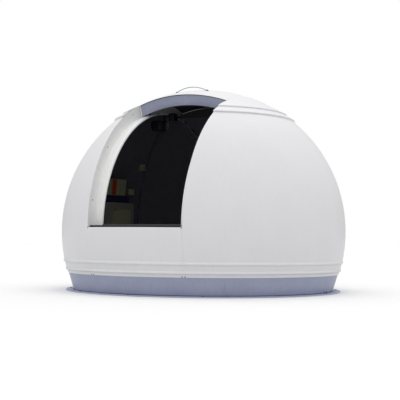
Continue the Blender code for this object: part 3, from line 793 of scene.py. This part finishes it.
def make_shutter_shell():
    """Shutter skin with all four edges rounded: the deeper of the side's and the end's drop counts."""
    side = SHUTTER_HALF - EDGE_INSETS
    halves = np.concatenate([-side, np.linspace(-0.58, 0.58, 30), side[::-1]])
    outer = sphere_arc(SHUTTER_RADIUS, halves)
    inner = sphere_arc(SHUTTER_RADIUS - SKIN, np.linspace(SHUTTER_HALF, -SHUTTER_HALF, 24))
    inset_deg = np.degrees(EDGE_INSETS / SHUTTER_RADIUS)
    middle = np.linspace(SHUTTER_FRONT_DEG + 0.8, SHUTTER_REAR_DEG - 0.8, 70)
    angles = np.concatenate(
        [SHUTTER_FRONT_DEG + inset_deg, middle, SHUTTER_REAR_DEG - inset_deg[::-1]]
    )
    from_end = np.minimum(angles - SHUTTER_FRONT_DEG, SHUTTER_REAR_DEG - angles)
    from_end = np.radians(from_end)[:, None] * SHUTTER_RADIUS
    away = np.minimum(from_end, SHUTTER_HALF - np.abs(halves))
    section = np.concatenate([outer, inner])
    section = np.repeat(section[None], len(angles), axis=0)
    section[:, : len(outer), 1] -= edge_drop(away)
    add_piece(
        "shutter_shell",
        [over_slot(section, angles)],
        "shutter",
        [WHITE, BLACK],
        np.arange(section.shape[1]) >= len(outer),
        replaced=("shutter_skin",),
    )


def make_shutter_skirts():
    inner_half = SHUTTER_HALF - SKIRT_THICKNESS
    under = SHUTTER_RADIUS - SKIN - HAIRLINE
    tops = sphere_arc(under, np.array([SHUTTER_HALF, inner_half]))
    corners = [*tops, (inner_half, SHUTTER_FOOT), (SHUTTER_HALF, SHUTTER_FOOT)]
    skirt = rounded(corners, (0.0003, 0.0003, 0.004, 0.004))
    points = over_slot(skirt, np.linspace(SHUTTER_LIP_DEG, SHUTTER_REAR_DEG, 70))
    for side, sign in (("left", -1), ("right", 1)):
        name = f"shutter_{side}_skirt"
        mould = [mirrored(points, sign)]
        add_piece(name + "_moulding", mould, "shutter", [RECESS], replaced=(name,))


def end_plate(start_deg, reverse=False):
    """Plate across the shutter's end: arcs at two radii, drawn in by a small quarter-round edge."""
    half = SHUTTER_HALF - SKIRT_THICKNESS - 2 * HAIRLINE
    insets = np.array([0.003, 0.0009, 0, 0])
    depths = np.array([0, 0.0009, 0.003, END_PLATE_THICKNESS])
    if reverse:
        depths = END_PLATE_THICKNESS - depths
    angle = math.radians(start_deg)
    outward = np.array([0, -math.cos(angle), math.sin(angle)])
    normal = np.array([0, math.sin(angle), math.cos(angle)])
    stations = []
    for inset, depth in zip(insets, depths):
        halves = np.linspace(-half, half, 40)
        upper = sphere_arc(SHUTTER_RADIUS - SKIN - 2 * HAIRLINE, halves)
        lower = sphere_arc(END_PLATE_RADIUS + inset, halves[::-1])
        outline = np.concatenate([upper, lower])
        face = outline[:, :1] * np.array([1, 0, 0]) + outline[:, 1:] * outward
        stations.append(face + np.array([0, 0, CENTRE]) + normal * depth)
    return np.stack(stations)


def make_shutter_ends():
    """Blue-grey plate at the front edge, white plate at the back, and the dark strip at the front."""
    front = end_plate(SHUTTER_LIP_DEG)
    add_piece("front_lip_face", [front], "shutter", [RING], replaced=("shutter_front_lip",))
    rear_deg = SHUTTER_REAR_DEG - SHUTTER_LIP_DEG + SHUTTER_FRONT_DEG - 0.357
    rear = end_plate(rear_deg, reverse=True)
    add_piece("rear_plate_face", [rear], "shutter", [RECESS], replaced=("shutter_rear_plate",))
    half = SHUTTER_HALF - SKIRT_THICKNESS - 0.002
    halves = np.linspace(-half, half, 60)
    upper = sphere_arc(SHUTTER_RADIUS - SKIN - 0.0005, halves)
    lower = sphere_arc(SHUTTER_RADIUS - SKIN - 0.0075, halves[::-1])
    strip = over_slot(np.concatenate([upper, lower]), (69.12, 69.39))
    add_piece("front_edge_strip", [strip], "shutter", [RUBBER])


def make_hoop():
    """Tube along a parabola, crest less (crest - foot) times (across / half) squared, on two pads."""
    angle = math.radians(SHUTTER_FRONT_DEG + 2 * (SHUTTER_REAR_DEG - SHUTTER_FRONT_DEG) / 20)
    outward = np.array([0, -math.cos(angle), math.sin(angle)])
    normal = np.array([0, math.sin(angle), math.cos(angle)])
    foot = math.sqrt(SHUTTER_RADIUS**2 - HOOP_HALF**2)
    across = np.linspace(-HOOP_HALF, HOOP_HALF, 49)
    rise = HOOP_CREST - (HOOP_CREST - foot - 0.002) * (across / HOOP_HALF) ** 2
    slope = np.gradient(rise, across)[:, None]
    path = across[:, None] * np.array([1, 0, 0]) + rise[:, None] * outward + np.array([0, 0, CENTRE])
    side = (outward - slope * np.array([1, 0, 0])) / np.hypot(1, slope)
    turn = np.arange(14)[:, None] * math.tau / 14
    ring = np.cos(turn) * normal + np.sin(turn) * side[:, None]
    tube = path[:, None] + HOOP_TUBE_RADIUS * ring
    add_piece("hoop_tube", [tube], "shutter", [ZINC], replaced=("lifting_hoop",))
    reach = HOOP_HALF / SHUTTER_RADIUS
    for name, sign in (("left", -1), ("right", 1)):
        up = outward * math.cos(reach) + np.array([sign * math.sin(reach), 0, 0])
        centre = up * SHUTTER_RADIUS + np.array([0, 0, CENTRE])
        pad = turned([(0.019, -0.002), (0.019, 0.002), (0.0165, 0.0035)], centre, up, 24)
        collar = turned([(0.0095, 0), (0.0095, 0.010), (0.0085, 0.012)], centre, up, 18)
        add_piece(f"{name}_hoop_foot", [pad, collar], "shutter", [BOLT])


def make_base_ring():
    """Leaning wall on its flange, with a dark bead of painted shade at the root, in four quarters."""
    top_radius, top_height = RING_TOP
    lean = (top_radius - RING_FOOT_RADIUS) / (top_height - FLANGE_THICKNESS)
    foot = RING_FOOT_RADIUS - RING_WALL - lean * FLANGE_THICKNESS
    corners = (
        (top_radius, top_height, 0.0015),
        (RING_FOOT_RADIUS, FLANGE_THICKNESS, 0.003),
        (FLANGE_RADIUS, FLANGE_THICKNESS, 0.004),
        (FLANGE_RADIUS, 0, 0.0005),
        (foot, 0, 0.0005),
        (top_radius - RING_WALL, top_height, 0.0015),
    )
    corners = np.array(corners)
    section = rounded(corners[:, :2], corners[:, 2])
    # The bead at the wall's root is painted shade for the corner between wall and flange
    turn = np.arange(12)[:, None] * math.tau / 12
    bead = np.concatenate([np.cos(turn), np.sin(turn)], axis=1) * FOOT_SHADE_RADIUS
    bead += (RING_FOOT_RADIUS + 0.001, FLANGE_THICKNESS + 0.0005)
    for index, side in enumerate(("front", "right", "rear", "left")):
        start = RING_JOINT_DEG - 90 + 90 * index
        azimuths = np.linspace(start + 0.02, start + 89.98, 91)
        name = f"base_ring_{side}"
        add_piece(
            name + "_moulding",
            [round_axis(section, azimuths)],
            "base_ring",
            [RING],
            replaced=(name,),
        )
        add_piece(f"{side}_ring_foot_shade", [round_axis(bead, azimuths)], "base_ring", [FOOT_SHADE])
    anchors = round_axis(np.array([[ANCHOR_RADIUS, FLANGE_THICKNESS]]), np.arange(-2, 358, 30))[:, 0]
    upright = [(0, 0, 1)] * len(anchors)
    bolts("anchor_bolts", anchors, upright, 0.0085, "base_ring", [BOLT])
    around = np.array([89.5, 92.7, 99, -89.5, -92.7, -99])
    wall = round_axis(np.array([[RING_FOOT_RADIUS + lean * 0.018, 0.030]]), around)[:, 0]
    out = wall * np.array([1, 1, 0])
    bolts("wall_foot_bolts", wall, out, 0.006, "base_ring", [BOLT])


def make_seam_bolts():
    """Bolt heads on the skirt, a pair at each upright joint."""
    azimuths = np.array([20.28, 21.39, -19.6, -20.95, 118.9, 121.1, -118.9, -121.1, 157.0, 159.7, -157.0, -159.7])
    elevation = elevation_of(0.2195, RADIUS)
    section = sphere_section([elevation], -0.005)
    centres = round_axis(section, azimuths)[:, 0]
    out = centres - np.array([0, 0, CENTRE])
    screws("skirt_joint_bolts", centres, out, 0.0065, 0.004, "dome", [BOLT])


def make_seam_ribs():
    """Two bolted flanges inside each upright rear joint, carried along the joint's meridian."""
    outer = RADIUS - SKIN - 0.0012
    steps = np.linspace(-7.2, CROWN_JOINT_DEG, 40)
    angle = np.radians(steps)[:, None]
    bolt_angle = np.radians(np.arange(-2, 50, 6.5))[:, None]
    for side, azimuth_deg in (("right", REAR_JOINT_DEG), ("left", -REAR_JOINT_DEG)):
        azimuth = math.radians(azimuth_deg)
        outward = np.array([math.sin(azimuth), -math.cos(azimuth), 0])
        across = np.array([math.cos(azimuth), math.sin(azimuth), 0])
        up = np.array([0, 0, 1])

        def along(points, angles):
            ray = np.cos(angles)[..., None] * outward + np.sin(angles)[..., None] * up
            return np.array([0, 0, CENTRE]) + points[:, :1] * across + points[:, 1:] * ray

        flanges = []
        for towards in (-1, 1):
            corners = ((0.001, outer), (0.018, outer), (0.018, outer - 0.022), (0.001, outer - 0.022))
            loop = rounded(corners, (0.0005, 0.0005, 0.003, 0.001)) * (towards, 1)
            flanges.append(along(loop, angle))
        name = f"{side}_seam_rib"
        add_piece(name + "_flanges", flanges, "dome", [BLACK], replaced=(name,))
        spots = along(np.array([[0.018, outer - 0.011]]), bolt_angle)[:, 0]
        other = along(np.array([[-0.018, outer - 0.011]]), bolt_angle)[:, 0]
        axes = [across] * len(spots) + [-across] * len(other)
        both = np.concatenate([spots, other])
        bolts(f"{side}_rib_bolts", both, axes, 0.010, "dome", [JOINT_BLACK], washer=False)


def wall_box(name, azimuth, half_width, front, low, high, corner, edge, material, lean=0.0, right=0.0, replaced=()):
    """A rounded box whose back follows the skin: out is the root of r^2 - height^2 - across^2."""
    points = slab(half_width, (high - low) / 2, 0.1, corner, edge)
    middle = (low + high) / 2
    rise = points[-1, :, 2] + middle - CENTRE
    skin = (RADIUS - SKIN - 0.001) ** 2 - rise**2 - (points[-1, :, 0] + right) ** 2
    points[-1, :, 1] = np.sqrt(skin) - front + lean * points[-1, :, 2]
    shape = placed(points, azimuth, right, front, middle, lean)
    add_piece(name, [shape], "dome", [material], replaced=replaced)


def wall_plate(name, azimuth, right, front, low, high, half_width, material, lean=0.0, thickness=0.004, corner=0.006):
    """A thin rounded plate on a box's front face."""
    points = slab(half_width, (high - low) / 2, thickness, corner, 0.0015)
    shape = placed(points, azimuth, right, front - thickness, (low + high) / 2, lean)
    add_piece(name, [shape], "dome", [material])


def make_control_box():
    """Leaning control box with a lid, an orange and an olive blank plate, and a small box beside it."""
    lean = 0.105
    wall_box("control_box_base", -100, 0.178, 1.512, 1.212, 1.424, 0.012, 0.003, ENCLOSURE,
             lean, replaced=("control_box",))
    lid = placed(slab(0.185, 0.110, 0.020, 0.016, 0.006), -100, 0, 1.4915, 1.318, lean)
    add_piece("control_box_lid", [lid], "dome", [ENCLOSURE])
    wall_plate("orange_blank_plate", -100, -0.048, 1.4918, 1.216, 1.420, 0.044, ORANGE, lean)
    wall_plate("pale_blank_panel", -100, 0.089, 1.4918, 1.216, 1.420, 0.088, PANEL, lean)
    wall_plate("olive_blank_window", -100, 0.090, 1.4878, 1.300, 1.384, 0.036, YELLOW_GREEN,
               lean, thickness=0.002)
    wall_box("junction_box_case", -112, 0.046, 1.550, 1.225, 1.308, 0.008, 0.004, ENCLOSURE,
             replaced=("junction_box",))
    wall_plate("junction_box_lid", -112, 0, 1.550, 1.230, 1.304, 0.042, PANEL)


def make_cabinet():
    """Equipment cabinet with a round top corner, its door panel, a thin black plate of painted shade where its slot
    is, and the navy tray.
    """
    wall_box("cabinet_case", -103, 0.268, 1.505, 0.700, 1.112, 0.045, 0.010, CABINET,
             replaced=("equipment_cabinet",))
    wall_plate("cabinet_door", -103, 0.0265, 1.505, 0.712, 1.020, 0.1685, PANEL)
    # Painted shade: a thin black plate on the door where the slot's dark opening is
    wall_plate("painted_slot_shade", -103, -0.087, 1.5012, 1.006, 1.016, 0.037, JOINT_BLACK,
               thickness=0.001, corner=0.004)
    wall_box("tray_case", -104, 0.235, 1.600, 1.128, 1.200, 0.006, 0.003, TRAY, replaced=("cable_tray",))


def make_wall_socket():
    """Socket housing high on the wall, with three pale connectors."""
    wall_box("socket_housing", -116, 0.045, 1.432, 1.560, 1.650, 0.008, 0.004, ENCLOSURE,
             replaced=("wall_socket",))
    angle = math.radians(-116)
    inward = np.array([-math.sin(angle), math.cos(angle), 0])
    profile = [(0.011, -0.001), (0.011, 0.0012), (0.0095, 0.0018)]
    spots = ((-0.022, 1.625), (0.020, 1.625), (-0.001, 1.585))
    local = np.array([[[right, 0, height - 1.6]] for right, height in spots])
    centres = placed(local, -116, 0, 1.432, 1.6)[:, 0]
    shapes = [turned(profile, centre, inward, 16) for centre in centres]
    add_piece("socket_connectors", shapes, "dome", [CONNECTOR])


def make_shutter_drive():
    """Motor with its end cap, the bracket plate and the drive unit, beside the opening near the top."""
    low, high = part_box("shutter_motor")
    middle, size = (low + high) / 2, (high - low) / 2
    body = placed(slab(size.x, size.z, 2 * size.y - 0.012, 0.028, 0.006), 180, middle.x, low.y + 0.012, middle.z)
    cap = placed(slab(size.x - 0.008, size.z - 0.008, 0.014, 0.024, 0.006), 180, middle.x, low.y, middle.z)
    add_piece("motor_case", [body, cap], "dome", [ENAMEL], replaced=("shutter_motor",))
    # A pale disc on the front of the motor
    spot = turned([(0.014, -0.002), (0.014, 0.006), (0.011, 0.009)], (-0.664, low.y + 0.009, 2.054), (0, -1, 0), 20)
    add_piece("motor_pale_disc", [spot], "dome", [CONNECTOR])
    low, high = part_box("motor_bracket")
    middle, size = (low + high) / 2, (high - low) / 2
    plate = placed(slab(size.x, size.z, 2 * size.y, 0.010, 0.0015), 180, middle.x, low.y, middle.z)
    add_piece("bracket_plate", [plate], "dome", [ALUMINIUM], replaced=("motor_bracket",))
    offsets = np.array([(-0.030, 0.070), (0.030, 0.070), (0.030, -0.060), (0.030, 0.005)])
    centres = [(middle.x + right, low.y, middle.z + up) for right, up in offsets]
    bolts("bracket_bolts", centres, [(0, -1, 0)] * 4, 0.0065, "dome", [BOLT])
    low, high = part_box("drive_unit")
    middle, size = (low + high) / 2, (high - low) / 2
    case = placed(slab(size.x, size.z, 2 * size.y, 0.012, 0.004), 180, middle.x, low.y, middle.z)
    boss = turned([(0.026, -0.004), (0.026, 0.004), (0.022, 0.007), (0.012, 0.007), (0.011, 0.010)],
                  (middle.x, low.y + 0.003, middle.z), (0, -1, 0), 28)
    boss[..., 1] = np.maximum(boss[..., 1], low.y - 0.006)
    add_piece("drive_case", [case, boss], "dome", [ENAMEL], replaced=("drive_unit",))


def make_header():
    """Row of bolts on the plate across the back end of the opening."""
    angle = math.radians(OPENING_END_DEG)
    outward = np.array([0, -math.cos(angle), math.sin(angle)])
    inward = -np.array([0, math.sin(angle), math.cos(angle)])
    centres = [(across, 0, CENTRE) + 1.52 * outward for across in np.linspace(-0.45, 0.45, 7)]
    bolts("header_bolts", centres, [inward] * 7, 0.0065, "dome", [BOLT])


def dress_plain_parts():
    """Procedural finishes for the CAD nodes that still show."""
    finishes = {"opening_header": JOINT_BLACK}
    finishes |= {f"support_roller_{number}": ZINC for number in range(1, 7)}
    finishes |= {f"{side}_{end}_guide_wheel": NYLON for side in ("left", "right") for end in ("front", "rear")}
    for name, material in finishes.items():
        for place in range(len(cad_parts[name].data.materials)):
            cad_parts[name].data.materials[place] = material


def make_camera():
    """Pinhole from the fit: yaw and pitch turn the axes, then roll turns right and up."""
    yaw, pitch, roll, around = np.radians(
        (CAMERA_YAW_DEG, CAMERA_PITCH_DEG, CAMERA_ROLL_DEG, CAMERA_AZIMUTH_DEG)
    )
    level = Vector((math.cos(yaw), -math.sin(yaw), 0))
    ahead = Vector((math.sin(yaw) * math.cos(pitch), math.cos(yaw) * math.cos(pitch), math.sin(pitch)))
    above = level.cross(ahead)
    right = math.cos(roll) * level + math.sin(roll) * above
    up = math.cos(roll) * above - math.sin(roll) * level
    axes = Matrix.Rotation(around, 3, "Z") @ Matrix((right, up, -ahead)).transposed()
    lens = bpy.data.cameras.new("photo_camera")
    lens.sensor_width = SENSOR_MM
    lens.lens = FOCAL_PIXELS / FRAME_PIXELS * SENSOR_MM
    camera = bpy.data.objects.new("photo_camera", lens)
    place = Vector((math.sin(around), -math.cos(around), 0)) * CAMERA_DISTANCE
    place.z = CAMERA_HEIGHT
    camera.matrix_world = Matrix.Translation(place) @ axes.to_4x4()
    bpy.context.scene.collection.objects.link(camera)
    bpy.context.scene.camera = camera


def make_studio():
    """Pale floor, white surroundings that brighten towards the top, and one broad light overhead."""
    floor_mesh = bpy.data.meshes.new("studio_floor")
    reach = 60.0
    corners = [(-reach, -reach, 0), (reach, -reach, 0), (reach, reach, 0), (-reach, reach, 0)]
    floor_mesh.from_pydata(corners, [], [(0, 1, 2, 3)])
    floor_material = bpy.data.materials.new("pale_floor")
    floor_material.use_nodes = True
    shader = floor_material.node_tree.nodes["Principled BSDF"]
    shader.inputs["Roughness"].default_value = 0.9
    # The camera sees white paper, and the dome gets the weaker bounce of pale ground
    seen = node(floor_material, "LightPath").outputs["Is Camera Ray"]
    paper = node(
        floor_material,
        "MixRGB",
        {"Fac": seen, "Color1": srgb(FLOOR_BOUNCE), "Color2": srgb("#F1F1F1")},
    )
    floor_material.node_tree.links.new(paper.outputs["Color"], shader.inputs["Base Color"])
    floor_mesh.materials.append(floor_material)
    floor = bpy.data.objects.new("studio_floor", floor_mesh)
    bpy.context.scene.collection.objects.link(floor)

    world = bpy.data.worlds.new("white_surroundings")
    world.use_nodes = True
    bpy.context.scene.world = world
    background = world.node_tree.nodes["Background"]
    direction = node(world, "TexCoord").outputs["Generated"]
    height = node(world, "SeparateXYZ", {"Vector": direction}).outputs["Z"]
    light = node(world, "MapRange", {"Value": height, "To Min": HORIZON_LIGHT, "To Max": ZENITH_LIGHT})
    seen = node(world, "LightPath").outputs["Is Camera Ray"]
    level = node(world, "MapRange", {"Value": seen, "To Min": light.outputs["Result"], "To Max": 1.0})
    world.node_tree.links.new(level.outputs["Result"], background.inputs["Strength"])
    background.inputs["Color"].default_value = (1, 1, 1, 1)

    sun = bpy.data.lights.new("overhead_light", "SUN")
    sun.energy = SUN_STRENGTH
    sun.angle = math.radians(SUN_SPREAD_DEG)
    lamp = bpy.data.objects.new("overhead_light", sun)
    lamp.rotation_euler = (math.radians(SUN_TILT_DEG), 0, 0)
    bpy.context.scene.collection.objects.link(lamp)
    bpy.context.scene.view_settings.view_transform = "Standard"


make_camera()
make_studio()
make_base_ring()
make_lower_panels()
make_crowns()
make_seam_bolts()
make_seam_ribs()
make_channels()
make_rear_floor()
make_sill()
make_header()
make_shutter_shell()
make_shutter_skirts()
make_shutter_ends()
make_hoop()
make_control_box()
make_cabinet()
make_wall_socket()
make_shutter_drive()
dress_plain_parts()
